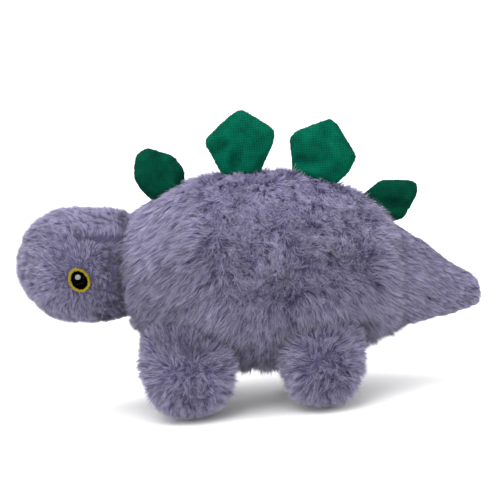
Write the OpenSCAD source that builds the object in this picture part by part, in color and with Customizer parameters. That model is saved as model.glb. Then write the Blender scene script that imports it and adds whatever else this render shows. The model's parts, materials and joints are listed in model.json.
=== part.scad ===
// Stuffed dinosaur with four back plates, sewn from panels over a loose fibre filling.
// Frame: the head points along -X, +Z is up, and the feet stand on z = 0 under the middle.
// The toy's own left side is at negative y. Fur surfaces are the outer envelope of the pile.

/* [Trunk] */
// Distance from the neck joint to the tip of the tail
trunk_length = 246.6; // [220:0.2:270]
// Height of the back above the ground at its highest
back_height = 170; // [155:1:185]
// Width of the trunk at its widest
trunk_width = 116; // [104:1:128]
// Thickness of the fur fabric, backing and pile together
fur_thickness = 9; // [6:0.5:10]

/* [Head] */
// Length of the head from the neck joint to the tip of the snout
head_length = 79; // [70:1:90]
// Height of the head at its highest
head_height = 82; // [74:1:90]
// Width of the head at its widest
head_width = 76; // [68:1:84]
// Upward tilt of the head
head_tilt = 6; // [0:1:9]

/* [Eyes] */
// Width of the oval of yellow thread
eye_width = 15; // [12:0.5:20]
// Height of the oval of yellow thread
eye_height = 18; // [14:0.5:22]
// Width of the yellow ring itself
eye_ring_width = 2.2; // [1.5:0.1:3]
// Distance of each eye from the neck joint, along the head
eye_along = 32; // [28:1:44]
// Angle of each eye from the top of the head, measured round the head
eye_round = 91; // [70:1:110]

/* [Legs] */
// Length of a front leg pouch from front to back
leg_length = 70; // [60:1:76]
// Thickness of a leg pouch from side to side
leg_thickness = 45; // [38:1:48]
// Highest point of a leg pouch above the ground
leg_top = 53; // [46:1:56]
// Distance of each leg's middle from the toy's middle plane
leg_out = 37; // [34:1:40]
// Length of a rear leg against a front one
rear_leg_share = 0.92; // [0.86:0.02:1]

/* [Plates] */
// Width of a large back plate across its shoulders
plate_width = 49; // [40:1:54]
// Height of a large back plate above the pile
plate_height = 41; // [32:1:46]
// Thickness of a back plate at its middle
plate_thickness = 11; // [8:0.5:12]
// Size of the small first and last plates against the second
small_plate = 0.75; // [0.65:0.01:0.85]

/* [Hidden] */

// Colours of the pile, the filling, the plates' velour and the threads.
fur_color = [0.42, 0.40, 0.50];
fibre_color = [0.93, 0.92, 0.88];
velour_color = [0.01, 0.38, 0.28];
yellow_thread = [0.72, 0.62, 0.06];
black_thread = [0.03, 0.03, 0.03];
white_thread = [0.80, 0.80, 0.78];

// Clearance between pieces that lie against each other.
gap = 0.3;
angle_step = 12;
left = -1;
right = 1;

// The trunk from the neck joint to the tip of the tail. Each row of its profile is
// [share of the length, underside, back, half width], the last three as shares of the
// back's height and of half the trunk's width.
neck_x = -84;
tip_x = neck_x + trunk_length;
TRUNK = [
    [0.000, 0.380, 0.850, 0.68],
    [0.055, 0.315, 0.893, 0.78],
    [0.130, 0.240, 0.948, 0.89],
    [0.230, 0.170, 0.995, 0.97],
    [0.340, 0.140, 1.000, 1.00],
    [0.460, 0.140, 0.990, 0.98],
    [0.570, 0.163, 0.948, 0.90],
    [0.670, 0.210, 0.870, 0.76],
    [0.750, 0.244, 0.765, 0.60],
    [0.830, 0.256, 0.660, 0.45],
    [0.910, 0.273, 0.560, 0.33],
    [1.000, 0.300, 0.465, 0.22],
];
// Height of a section's widest line, as a share of the section's own height.
widest = 0.47;

// The neck joint: the head turns and nods on a ball of filling, and both bodies fall away
// from it as cones. The fade is how far behind the joint the cone's set-back runs out.
neck_ball = 20;
neck_clear = 0.9;
neck_notch = 12.5;
neck_fade = 32;

// The tail joint: the trunk and the tail fall away as wedges from an upright hinge line.
tail_x = 112;
tail_notch = 11.5;
tail_fade = 26;
tail_round = 12;

// The back seam is at 0 degrees, and the seams between back and belly lie at this angle.
belly_seam = 142;
cross_seam_x = 1;
cross_seam_half = 0.7;

// Closing stitches: upright threads in the middle of the cross seam.
stitch_diameter = 0.8;
stitch_height = 6;
stitch_pitch = 3;
stitch_reach = 12;
stitch_lift = 1.8;

// The head: shares of its height below and above its axis, its size at the neck and how far
// on it is full, and how long the rounding of its snout is.
head_below = 0.46;
head_above = 0.54;
head_neck_share = 0.90;
head_swell = 14;
head_round = 36;

// Eyes: the thickness of each layer, and the tilt of the oval.
eye_backing_thick = 0.8;
eye_thread_thick = 1.3;
eye_highlight_thick = 0.5;
eye_tilt = -32;
eye_clear = 0.15;
highlight_diameter = 3.2;
highlight_place = [-0.9, -2.2];

// Legs: the middle of each pair, the hip seam's distance from the middle plane, and how
// steeply a pouch falls away from that seam on its outer and inner side.
FRONT = -49;
REAR = 45;
hip_y = 30;
outer_fall = 16;
inner_fall = 46;
// A pouch's own profile, as [share of its height, share of its size], from the sole up.
LEG = [
    [0.00, 0.00],
    [0.00, 0.32],
    [0.00, 0.58],
    [0.10, 0.78],
    [0.26, 0.93],
    [0.46, 1.00],
    [0.70, 1.00],
    [0.88, 0.96],
    [1.00, 0.90],
];
LEG_ROOF = [
    [1.00, 0.60],
    [1.00, 0.30],
    [1.00, 0.00],
];

// Plates: where each stands along the back, and its size against the second one.
PLATES = [
    [-54, small_plate],
    [2, 1.00],
    [54, 0.97],
    [101, small_plate],
];
plate_fabric = 1.5;
plate_edge = 1.7;
// How far the outline is drawn from straight sides towards a circle, and that circle's size
// where a corner is at 1.
plate_softness = 0.3;
plate_circle = 0.93;
plate_corners = 5;
// Height of a plate's base above the fabric, so that the plate can fold over.
plate_stand = 1.4;
plate_steps = 30;
plate_rings = [0, 0.35, 0.65, 0.85, 1];
wadding_reach = 0.92;

// ---- curves ----

// The row of a table whose span holds u, for a table with a rising first column.
function row_at(table, u, i = 0) =
    i >= len(table) - 2 || u <= table[i + 1][0] ? i : row_at(table, u, i + 1);

function slope_at(table, i, c) =
    let (
        a = max(i - 1, 0),
        b = min(i + 1, len(table) - 1)
    )
    (table[b][c] - table[a][c]) / (table[b][0] - table[a][0]);

// Column c of a table at u, on a smooth curve through its rows.
function smooth(table, u, c) =
    let (
        i = row_at(table, u),
        span = table[i + 1][0] - table[i][0],
        t = (u - table[i][0]) / span,
        t2 = t * t,
        t3 = t2 * t
    )
    (2 * t3 - 3 * t2 + 1) * table[i][c]
    + (t3 - 2 * t2 + t) * span * slope_at(table, i, c)
    + (3 * t2 - 2 * t3) * table[i + 1][c]
    + (t3 - t2) * span * slope_at(table, i + 1, c);

function fade(distance, reach) = max(0, 1 - distance / reach);

function steps(from, to, count) = [for (i = [0:count]) from + (to - from) * i / count];

function arc(from, to) = steps(from, to, ceil((to - from) / angle_step));

// The angles of a whole turn, without the last, which is the first again.
function turn(count) = [for (i = [0:count - 1]) 360 * i / count];
full_turn = turn(360 / angle_step);

// ---- the trunk's surface ----

function trunk_low(x) = back_height * smooth(TRUNK, (x - neck_x) / trunk_length, 1);
function trunk_high(x) = back_height * smooth(TRUNK, (x - neck_x) / trunk_length, 2);
function trunk_half(x) = trunk_width / 2 * smooth(TRUNK, (x - neck_x) / trunk_length, 3);
function trunk_mid(x) = trunk_low(x) + widest * (trunk_high(x) - trunk_low(x));

// Half the span over which the slopes of the back and the underside are measured.
slope_reach = 5;

neck = [neck_x, 0, trunk_mid(neck_x)];

// Height of the trunk's underside at x, at distance y from the middle plane.
function trunk_under(x, y) =
    trunk_mid(x) - (trunk_mid(x) - trunk_low(x)) * sqrt(1 - pow(y / trunk_half(x), 2));

// The trunk at x and at angle a from the middle of the back, inset into the fabric, and
// drawn in towards the axis by share s. The ends are set back for the neck and the tail.
function trunk_point(x, a, inset, s) =
    let (
        mid = trunk_mid(x),
        tall = (cos(a) > 0 ? trunk_high(x) - mid : mid - trunk_low(x)) - inset,
        y = s * (trunk_half(x) - inset) * sin(a),
        z = s * tall * cos(a),
        at_neck = fade(x - neck_x, neck_fade),
        at_tail = x > tail_x ? fade(x - tail_x, tail_fade) : -fade(tail_x - x, tail_fade)
    )
    [
        x + at_neck * (z * tan(head_tilt) + norm([y, z]) * tan(neck_notch))
            + at_tail * abs(y) * tan(tail_notch),
        y,
        mid + z
    ];

function trunk_rings(places, angles, inset) =
    [for (p = places) [for (a = angles) trunk_point(p[0], a, inset, p[1])]];

body_places = [for (x = steps(neck_x, tail_x - gap, 18)) [x, 1]];
front_belly_places = [for (x = steps(neck_x, cross_seam_x - cross_seam_half, 8)) [x, 1]];
rear_belly_places = [for (x = steps(cross_seam_x + cross_seam_half, tail_x - gap, 10)) [x, 1]];
tail_start = tail_x + gap;
tail_straight = [for (x = steps(tail_start, tip_x - tail_round, 6)) [x, 1]];

function tail_places(inset) = concat(
    tail_straight,
    [for (b = steps(22.5, 90, 3)) [tip_x - tail_round + (tail_round - inset) * sin(b), cos(b)]]
);

// Points on the neck ball's socket, turned with the neck's lean. side is 1 behind the ball
// and -1 in front of it, and b is the angle from the pole.
function socket_ring(side, b) =
    let (r = neck_ball + neck_clear)
    [for (a = full_turn)
        let (
            x = side * r * cos(b),
            z = r * sin(b) * cos(a)
        )
        [
            x * cos(head_tilt) + z * sin(head_tilt),
            r * sin(b) * sin(a),
            z * cos(head_tilt) - x * sin(head_tilt)
        ]];

socket_angles = steps(0, 90 - neck_notch, 4);

// ---- the head's surface, in a frame at the neck joint along the head's own axis ----

function head_fill(d) = head_neck_share + (1 - head_neck_share) * sin(90 * min(1, d / head_swell));

function head_point(d, a, inset, s) =
    let (
        tall = head_height * (cos(a) > 0 ? head_above : head_below) * head_fill(d) - inset,
        y = s * (head_width / 2 * head_fill(d) - inset) * sin(a),
        z = s * tall * cos(a)
    )
    [-d - fade(d, neck_fade) * norm([y, z]) * tan(neck_notch), y, z];

// From the snout back to the neck.
function head_places(inset) = concat(
    [for (b = [90, 76, 62, 48, 34, 20, 8])
        [head_length - head_round + (head_round - inset) * sin(b), cos(b)]],
    [for (d = steps(head_length - head_round, 0, 6)) [d, 1]]
);

function head_rings(angles, inset) =
    [for (p = head_places(inset)) [for (a = angles) head_point(p[0], a, inset, p[1])]];

// ---- the legs' surface, for a leg on the right ----

function leg_share(middle) = middle == REAR ? rear_leg_share : 1;

function seam_slope(middle) =
    (trunk_under(middle + slope_reach, hip_y) - trunk_under(middle - slope_reach, hip_y))
    / (2 * slope_reach);

function hip_seam(middle) = [middle, hip_y, trunk_under(middle, hip_y) - 2 * gap];

function leg_roof(middle, x, y) =
    let (out = y - hip_y)
    min(leg_top, hip_seam(middle)[2] + seam_slope(middle) * (x - middle)
        + out * tan(out > 0 ? outer_fall : inner_fall));

function leg_point(middle, a, inset, p) =
    let (
        x = middle - p[1] * (leg_length / 2 * leg_share(middle) - inset) * cos(a),
        y = leg_out + p[1] * (leg_thickness / 2 - inset) * sin(a)
    )
    [x, y, inset + p[0] * (leg_roof(middle, x, y) - inset)];

function leg_rings(middle, profile, angles, inset) =
    [for (p = profile) [for (a = angles) leg_point(middle, a, inset, p)]];

// ---- solids from rings of points ----

function flat(rings) = [for (ring = rings) each ring];

// Triangles between neighbouring rings. closed joins the last column to the first, and
// outward says which side of the grid is the outside.
function grid(rows, columns, base, outward, closed) = [
    for (r = [0:rows - 2], c = [0:columns - (closed ? 1 : 2)])
        let (
            p = base + r * columns + c,
            p2 = base + r * columns + (c + 1) % columns,
            q = p + columns,
            q2 = p2 + columns
        )
        each outward ? [[p, p2, q2], [p, q2, q]] : [[p, q2, p2], [p, q, q2]]
];

// A strip of triangles between two edges of the same length.
function strip(a, b) = [
    for (i = [0:len(a) - 2])
        each [[a[i], a[i + 1], b[i + 1]], [a[i], b[i + 1], b[i]]]
];

function shifted(list, by) = [for (i = list) i + by];

// Faces that are more than a line, which leaves out those that meet at a pole.
function live(points, faces) = [
    for (f = faces)
        if (norm(cross(points[f[1]] - points[f[0]], points[f[2]] - points[f[0]])) > 1e-6) f
];

// A closed wall between an outer and an inner surface with the same rows and columns. With
// whole, each row goes right round, so the wall has no edge along its first or last column.
module wall(outer, inner, whole = false) {
    rows = len(outer);
    columns = len(outer[0]);
    n = rows * columns;
    points = concat(flat(outer), flat(inner));
    first_column = [for (r = [0:rows - 1]) r * columns];
    last_column = shifted(first_column, columns - 1);
    first_row = [for (c = [0:columns - (whole ? 0 : 1)]) c % columns];
    last_row = shifted(first_row, n - columns);
    polyhedron(points, live(points, concat(
        grid(rows, columns, 0, true, whole),
        grid(rows, columns, n, false, whole),
        whole ? [] : strip(first_column, shifted(first_column, n)),
        whole ? [] : strip(shifted(last_column, n), last_column),
        strip(shifted(first_row, n), first_row),
        strip(last_row, shifted(last_row, n))
    )));
}

// A closed solid through whole rings that end in a pole at both ends.
module loft(rings) {
    points = flat(rings);
    polyhedron(points, live(points, grid(len(rings), len(rings[0]), 0, true, true)));
}

module on_side(side) {
    if (side == left)
        mirror([0, 1, 0]) children();
    else
        children();
}

// ---- trunk ----

module trunk_panel(places, from, to) {
    angles = arc(from, to);
    color(fur_color)
        wall(trunk_rings(places, angles, 0), trunk_rings(places, angles, fur_thickness));
}

module body_panel_left() {
    trunk_panel(body_places, -belly_seam, 0);
}

module body_panel_right() {
    trunk_panel(body_places, 0, belly_seam);
}

module belly_panel_front() {
    trunk_panel(front_belly_places, belly_seam, 360 - belly_seam);
}

module belly_panel_rear() {
    trunk_panel(rear_belly_places, belly_seam, 360 - belly_seam);
}

module body_stuffing() {
    inset = fur_thickness + gap;
    socket = [for (b = socket_angles) [for (p = socket_ring(1, b)) neck + p]];
    cap = [for (s = [0.55, 0]) [tail_x - gap, s]];
    color(fibre_color)
        loft(concat(socket, trunk_rings(concat(body_places, cap), full_turn, inset)));
}

module closing_stitches() {
    color(fur_color)
        for (y = [-stitch_reach:stitch_pitch:stitch_reach])
            translate([cross_seam_x, y, trunk_under(cross_seam_x, y) + stitch_lift])
                cylinder(d = stitch_diameter, h = stitch_height, $fn = 16);
}

module neck_stuffing() {
    color(fibre_color)
        translate(neck)
            sphere(r = neck_ball, $fn = 48);
}

// ---- tail ----

module tail_panel(from, to) {
    angles = arc(from, to);
    color(fur_color)
        wall(
            trunk_rings(tail_places(0), angles, 0),
            trunk_rings(tail_places(fur_thickness), angles, fur_thickness)
        );
}

module tail_panel_left() {
    tail_panel(-180, 0);
}

module tail_panel_right() {
    tail_panel(0, 180);
}

module tail_stuffing() {
    inset = fur_thickness + gap;
    cap = [for (s = [0, 0.55]) [tail_start, s]];
    color(fibre_color)
        loft(trunk_rings(concat(cap, tail_places(inset)), full_turn, inset));
}

// ---- head ----

module in_head() {
    translate(neck)
        rotate([0, head_tilt, 0])
            children();
}

module head_panel(from, to) {
    angles = arc(from, to);
    color(fur_color)
        in_head()
            wall(head_rings(angles, 0), head_rings(angles, fur_thickness));
}

module head_panel_left() {
    head_panel(-180, 0);
}

module head_panel_right() {
    head_panel(0, 180);
}

module head_stuffing() {
    inset = fur_thickness + gap;
    r = neck_ball + neck_clear;
    socket = [for (i = [len(socket_angles) - 1:-1:0])
        [for (a = full_turn)
            let (b = socket_angles[i])
            [-r * cos(b), r * sin(b) * sin(a), r * sin(b) * cos(a)]]];
    color(fibre_color)
        in_head()
            loft(concat(head_rings(full_turn, inset), socket));
}

// ---- eyes ----

// A flat oval, with its edge drawn in by the given width.
module oval(inset) {
    rotate(eye_tilt)
        polygon([for (a = turn(40)) [(eye_width / 2 - inset) * cos(a), (eye_height / 2 - inset) * sin(a)]]);
}

// A layer of an eye, from lift above the fur, on one side of the head.
module eye_layer(side, lift, thick) {
    centre = head_point(eye_along, eye_round, 0, 1);
    in_head()
        on_side(side)
            translate(centre)
                rotate([-eye_round, 0, 0])
                    translate([0, 0, lift + gap])
                        linear_extrude(thick)
                            children();
}

module eye_backing(side) {
    color(fibre_color)
        eye_layer(side, 0, eye_backing_thick)
            oval(0.5);
}

module eye_ring(side) {
    color(yellow_thread)
        eye_layer(side, eye_backing_thick, eye_thread_thick)
            difference() {
                oval(0);
                oval(eye_ring_width);
            }
}

module eye_pupil(side) {
    color(black_thread)
        eye_layer(side, eye_backing_thick, eye_thread_thick)
            oval(eye_ring_width + eye_clear);
}

module eye_highlight(side) {
    color(white_thread)
        eye_layer(side, eye_backing_thick + eye_thread_thick, eye_highlight_thick)
            translate(highlight_place)
                circle(d = highlight_diameter, $fn = 24);
}

// ---- legs ----

module leg_panel(middle, side, from, to) {
    angles = arc(from, to);
    color(fur_color)
        on_side(side)
            wall(
                leg_rings(middle, LEG, angles, 0),
                leg_rings(middle, LEG, angles, fur_thickness)
            );
}

module leg_outer(middle, side) {
    leg_panel(middle, side, 0, 180);
}

module leg_inner(middle, side) {
    leg_panel(middle, side, 180, 360);
}

module leg_stuffing(middle, side) {
    color(fibre_color)
        on_side(side)
            loft(leg_rings(middle, concat(LEG, LEG_ROOF), full_turn, fur_thickness + gap));
}

// ---- plates ----

// Distance of a plate's outline from its middle, at an angle from its tip, where 1 is a corner.
function plate_outline(a) =
    let (
        half = 180 / plate_corners,
        straight = cos(half) / cos(a - 2 * half * floor(a / (2 * half)) - half)
    )
    straight + plate_softness * (plate_circle - straight);

function plate_bulge(share) =
    plate_edge + (plate_thickness / 2 - plate_edge) * (1 - share * share);

function plate_point(size, a, share, y) =
    let (
        corner = 360 / plate_corners,
        wide = size * plate_width / 2 / sin(corner) / plate_outline(corner),
        tall = (size * plate_height - plate_stand) / (plate_outline(0) + plate_outline(180))
    )
    [
        wide * plate_outline(a) * share * sin(a),
        y,
        plate_stand + tall * (plate_outline(180) + plate_outline(a) * share * cos(a))
    ];

module on_back(x) {
    rise = (trunk_high(x + slope_reach) - trunk_high(x - slope_reach)) / (2 * slope_reach);
    translate([x, 0, trunk_high(x)])
        rotate([0, -atan(rise), 0])
            children();
}

module plate_face(number, side) {
    x = PLATES[number - 1][0];
    size = PLATES[number - 1][1];
    near = [for (share = plate_rings) [for (a = turn(plate_steps))
        plate_point(size, a, share, plate_bulge(share))]];
    far = [for (share = plate_rings) [for (a = turn(plate_steps))
        plate_point(size, a, share, plate_bulge(share) - plate_fabric)]];
    color(velour_color)
        on_back(x)
            on_side(side)
                wall(near, far, whole = true);
}

module plate_wadding(number) {
    x = PLATES[number - 1][0];
    size = PLATES[number - 1][1];
    inner = [for (share = plate_rings) wadding_reach * share];
    places = concat(
        [for (share = inner) [share, -1]],
        [for (i = [len(inner) - 1:-1:0]) [inner[i], 1]]
    );
    color(fibre_color)
        on_back(x)
            loft([for (p = places) [for (a = turn(plate_steps))
                plate_point(size, a, p[0], p[1] * (plate_bulge(p[0]) - plate_fabric - gap / 2))]]);
}

body_panel_left();
body_panel_right();
belly_panel_front();
belly_panel_rear();
body_stuffing();
closing_stitches();
neck_stuffing();
head_panel_left();
head_panel_right();
head_stuffing();
eye_ring(left);  // eye_left_ring
eye_pupil(left);  // eye_left_pupil
eye_highlight(left);  // eye_left_highlight
eye_backing(left);  // eye_left_backing
eye_ring(right);  // eye_right_ring
eye_pupil(right);  // eye_right_pupil
eye_highlight(right);  // eye_right_highlight
eye_backing(right);  // eye_right_backing
tail_panel_left();
tail_panel_right();
tail_stuffing();
leg_outer(FRONT, left);  // front_left_leg_outer
leg_inner(FRONT, left);  // front_left_leg_inner
leg_stuffing(FRONT, left);  // front_left_leg_stuffing
leg_outer(FRONT, right);  // front_right_leg_outer
leg_inner(FRONT, right);  // front_right_leg_inner
leg_stuffing(FRONT, right);  // front_right_leg_stuffing
leg_outer(REAR, left);  // rear_left_leg_outer
leg_inner(REAR, left);  // rear_left_leg_inner
leg_stuffing(REAR, left);  // rear_left_leg_stuffing
leg_outer(REAR, right);  // rear_right_leg_outer
leg_inner(REAR, right);  // rear_right_leg_inner
leg_stuffing(REAR, right);  // rear_right_leg_stuffing
plate_face(1, left);  // plate_1_left_face
plate_face(1, right);  // plate_1_right_face
plate_wadding(1);  // plate_1_wadding
plate_face(2, left);  // plate_2_left_face
plate_face(2, right);  // plate_2_right_face
plate_wadding(2);  // plate_2_wadding
plate_face(3, left);  // plate_3_left_face
plate_face(3, right);  // plate_3_right_face
plate_wadding(3);  // plate_3_wadding
plate_face(4, left);  // plate_4_left_face
plate_face(4, right);  // plate_4_right_face
plate_wadding(4);  // plate_4_wadding
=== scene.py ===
# %% [markdown]
# # A stuffed dinosaur
#
# The toy is a cover of long-pile lavender fur fabric, sewn from panels and filled with loose
# polyester fibre, with four padded velour plates along the back and two embroidered eyes.
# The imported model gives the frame: where each body is, and the hinge that it moves on. The
# cells below build what the eye sees around that frame, from the inside out: first the
# filled shapes, then the pile that grows on them, then the plates and the eyes.

# %% Load the frame
import functools
import itertools
import json
import math

import bmesh
import bpy
import numpy as np
from mathutils import Matrix, Vector

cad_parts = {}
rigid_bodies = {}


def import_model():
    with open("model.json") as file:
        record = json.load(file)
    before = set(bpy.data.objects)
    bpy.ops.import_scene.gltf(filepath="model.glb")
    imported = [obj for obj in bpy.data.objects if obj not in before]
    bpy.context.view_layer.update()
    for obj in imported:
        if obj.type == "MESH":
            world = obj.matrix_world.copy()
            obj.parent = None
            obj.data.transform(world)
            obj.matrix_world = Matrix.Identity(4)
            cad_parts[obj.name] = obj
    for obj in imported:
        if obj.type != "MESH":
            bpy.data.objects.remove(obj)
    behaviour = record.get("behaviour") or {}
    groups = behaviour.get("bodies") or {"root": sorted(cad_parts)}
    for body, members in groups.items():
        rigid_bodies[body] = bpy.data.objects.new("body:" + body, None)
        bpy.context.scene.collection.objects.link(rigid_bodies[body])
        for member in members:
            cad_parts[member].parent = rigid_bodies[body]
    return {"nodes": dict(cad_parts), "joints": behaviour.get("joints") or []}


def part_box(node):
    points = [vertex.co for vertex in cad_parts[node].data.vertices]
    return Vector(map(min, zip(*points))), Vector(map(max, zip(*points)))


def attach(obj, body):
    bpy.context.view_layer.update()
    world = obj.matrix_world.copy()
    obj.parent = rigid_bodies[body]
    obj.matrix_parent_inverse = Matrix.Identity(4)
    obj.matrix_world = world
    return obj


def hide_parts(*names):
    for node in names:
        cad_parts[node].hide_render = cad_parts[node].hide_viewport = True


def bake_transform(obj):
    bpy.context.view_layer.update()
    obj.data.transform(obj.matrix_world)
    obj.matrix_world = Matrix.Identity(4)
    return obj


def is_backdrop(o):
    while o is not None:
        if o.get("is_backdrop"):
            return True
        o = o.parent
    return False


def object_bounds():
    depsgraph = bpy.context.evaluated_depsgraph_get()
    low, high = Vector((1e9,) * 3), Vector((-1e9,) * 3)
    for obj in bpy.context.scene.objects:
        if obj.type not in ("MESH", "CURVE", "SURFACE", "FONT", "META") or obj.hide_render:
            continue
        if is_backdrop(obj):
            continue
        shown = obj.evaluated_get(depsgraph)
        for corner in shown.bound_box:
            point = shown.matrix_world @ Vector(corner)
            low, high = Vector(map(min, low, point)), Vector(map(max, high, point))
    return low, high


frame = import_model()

CAD_LOW, CAD_HIGH = (np.array(corner, float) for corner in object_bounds())
JOINT = {joint["name"]: joint for joint in frame["joints"]}
MM = 0.001
print("CAD box in mm:", (CAD_LOW / MM).round(1), (CAD_HIGH / MM).round(1))
print("joints:", sorted(JOINT))

# %% [markdown]
# ## Camera, light and floor
#
# A small product is usually taken from a distance with a long lens, so that its near side
# isn't enlarged. The camera stands a little above the toy and is rolled a few degrees, as a
# hand-held one is. Plain soft light comes from a large panel overhead, weaker ones in front
# and behind, and a white world that fills the shadows. View transform Standard keeps the
# colours as they are, which is what makes a white floor come out white.

# %% Camera
CAMERA_AWAY = 1.6
CAMERA_UP = math.radians(10)
CAMERA_ROLL = math.radians(-5)
FRAME_WIDTH = 0.350
SENSOR = 36
AIM = Vector((0.0024, 0, 0.109))

camera = bpy.data.objects.new("camera", bpy.data.cameras.new("camera"))
bpy.context.scene.collection.objects.link(camera)
camera.location = AIM + CAMERA_AWAY * Vector((0, -math.cos(CAMERA_UP), math.sin(CAMERA_UP)))
look = Matrix.Rotation(math.pi / 2 - CAMERA_UP, 4, "X") @ Matrix.Rotation(CAMERA_ROLL, 4, "Z")
camera.rotation_euler = look.to_euler()
camera.data.sensor_width = SENSOR
camera.data.lens = SENSOR * CAMERA_AWAY / FRAME_WIDTH
bpy.context.scene.camera = camera
print("lens", round(camera.data.lens), "mm")

# %% Light
PANEL_SIZE = 1.2
LIT_POINT = Vector((0, 0, 0.1))
WORLD_STRENGTH = 1.12


def light_panel(name, place, power):
    """A square area light at a place, turned to face the toy."""
    lamp = bpy.data.lights.new(name, "AREA")
    lamp.energy = power
    lamp.size = PANEL_SIZE
    panel = bpy.data.objects.new(name, lamp)
    bpy.context.scene.collection.objects.link(panel)
    panel.location = place
    panel.rotation_euler = (LIT_POINT - Vector(place)).to_track_quat("-Z", "Y").to_euler()


light_panel("overhead_light", (-0.3, -0.35, 1.4), 22)
light_panel("front_light", (-0.9, -1.5, 0.8), 9)
light_panel("back_light", (0.6, 1.4, 1.0), 9)

world = bpy.data.worlds.new("studio")
bpy.context.scene.world = world
world.use_nodes = True
world.node_tree.nodes["Background"].inputs["Color"].default_value = (1, 1, 1, 1)
world.node_tree.nodes["Background"].inputs["Strength"].default_value = WORLD_STRENGTH
bpy.context.scene.view_settings.view_transform = "Standard"
print("lights placed")

# %% [markdown]
# ## Small helpers
#
# A few helpers serve every later cell. One turns a colour from the sRGB hex code that a
# swatch book gives into the linear numbers that the shader works in. One adds a node with
# its settings and its links, so that a material reads as a short list. One puts arrays of
# corners and faces into a mesh in a few calls, which stays fast at a million faces.

# %% Helpers


def linear(code):
    """sRGB to linear: below 0.04045 a straight line, above it a power of 2.4."""
    channels = np.array([int(code[i : i + 2], 16) for i in (1, 3, 5)]) / 255
    curve = ((channels + 0.055) / 1.055) ** 2.4
    return (*np.where(channels <= 0.04045, channels / 12.92, curve), 1.0)


def node(material, kind, settings=(), **links):
    """Adds a node, sets its properties and sockets, and links each named input from an output."""
    made = material.node_tree.nodes.new(kind)
    for key, value in dict(settings).items():
        if isinstance(key, int) or key in made.inputs:
            made.inputs[key].default_value = value
        else:
            setattr(made, key, value)
    for key, output in links.items():
        material.node_tree.links.new(output, made.inputs[key.replace("_", " ")])
    return made


def cloth_material(name, base, rough, sheen=0.0, specular=0.3):
    """A Principled material with a plain base colour, for the cells that follow to work on."""
    material = bpy.data.materials.new(name)
    material.use_nodes = True
    shader = material.node_tree.nodes["Principled BSDF"]
    shader.inputs["Base Color"].default_value = linear(base)
    shader.inputs["Roughness"].default_value = rough
    shader.inputs["Specular IOR Level"].default_value = specular
    shader.inputs["Sheen Weight"].default_value = sheen
    return material, shader


def piece_of(name, points, faces, material, smooth=True):
    """A mesh object from an array of corners and an array of triangles or of four-sided faces."""
    mesh = bpy.data.meshes.new(name)
    sides = faces.shape[1]
    mesh.vertices.add(len(points))
    mesh.vertices.foreach_set("co", np.asarray(points, np.float32).ravel())
    mesh.loops.add(faces.size)
    mesh.loops.foreach_set("vertex_index", np.asarray(faces, np.int32).ravel())
    mesh.polygons.add(len(faces))
    mesh.polygons.foreach_set("loop_start", np.arange(0, faces.size, sides, dtype=np.int32))
    mesh.polygons.foreach_set("use_smooth", np.full(len(faces), smooth))
    mesh.update(calc_edges=True)
    mesh.materials.append(material)
    piece = bpy.data.objects.new(name, mesh)
    bpy.context.scene.collection.objects.link(piece)
    return piece


def faced_outwards(piece, merge=0.0):
    """Turns every face of a closed mesh outwards, after merging corners that lie within the
    given distance in metres."""
    work = bmesh.new()
    work.from_mesh(piece.data)
    if merge:
        bmesh.ops.remove_doubles(work, verts=work.verts, dist=merge)
    bmesh.ops.recalc_face_normals(work, faces=work.faces)
    work.to_mesh(piece.data)
    work.free()
    return piece


def corners(piece):
    """The corners of a mesh, as an array of rows x, y, z."""
    flat = np.empty(3 * len(piece.data.vertices), np.float32)
    piece.data.vertices.foreach_get("co", flat)
    return flat.reshape(-1, 3).astype(float)


def unit(vectors):
    """Vectors of the same direction and of length 1."""
    return vectors / np.maximum(np.linalg.norm(vectors, axis=-1, keepdims=True), 1e-12)


print("helpers ready")

# %% [markdown]
# ## Floor
#
# A plain pale sheet, large enough to fill the view, on the plane that the feet stand on.

# %% Floor
floor_paper, _ = cloth_material("pale_paper", "#f4f4f4", 0.9, specular=0.1)
FLOOR_REACH = 8.0
floor_points = FLOOR_REACH * np.array([[-1, -1, 0], [1, -1, 0], [1, 1, 0], [-1, 1, 0]], float)
floor = piece_of("floor", floor_points, np.array([[0, 1, 2, 3]]), floor_paper, smooth=False)
floor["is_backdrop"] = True
print("floor laid")

# %% [markdown]
# ## The filled shapes
#
# Under the pile is a woven backing, and the filling pushes it out into simple round forms.
# Each form is a surface of two parameters: a place along an axis, and an angle round it.
# The trunk is a row of ovals whose floor, back and width follow smooth curves from the neck
# to the tip of the tail, the head is a capsule, and a leg is a short pouch with a flat sole.
# The surface lies one pile's depth inside the outside of the fur. The trunk's table gives,
# along its length, the floor and the back as shares of the height, and the half width.

# %% Curves of the trunk
BODY_PILE = 6.3
HEAD_PILE = 4.0
LEG_PILE = 5.2
THINNEST = 6.5
NECK = np.array(JOINT["neck_turn"]["pos_m"]) / MM
NECK_X = NECK[0]
TAIL_TIP = CAD_HIGH[0] / MM
TRUNK_LENGTH = TAIL_TIP - NECK_X
BACK_HEIGHT = 170.0
HALF_TRUNK = 58.0
WIDEST = 0.47
OUTSIDE = 9.0
TRUNK = np.array([
    [0.000, 0.380, 0.850, 0.68],
    [0.055, 0.315, 0.893, 0.78],
    [0.130, 0.240, 0.948, 0.89],
    [0.230, 0.170, 0.990, 0.97],
    [0.340, 0.140, 1.000, 1.00],
    [0.460, 0.140, 0.990, 0.98],
    [0.570, 0.163, 0.948, 0.90],
    [0.670, 0.210, 0.870, 0.76],
    [0.750, 0.244, 0.765, 0.60],
    [0.830, 0.256, 0.660, 0.45],
    [0.910, 0.273, 0.560, 0.33],
    [1.000, 0.300, 0.465, 0.22],
])


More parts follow.
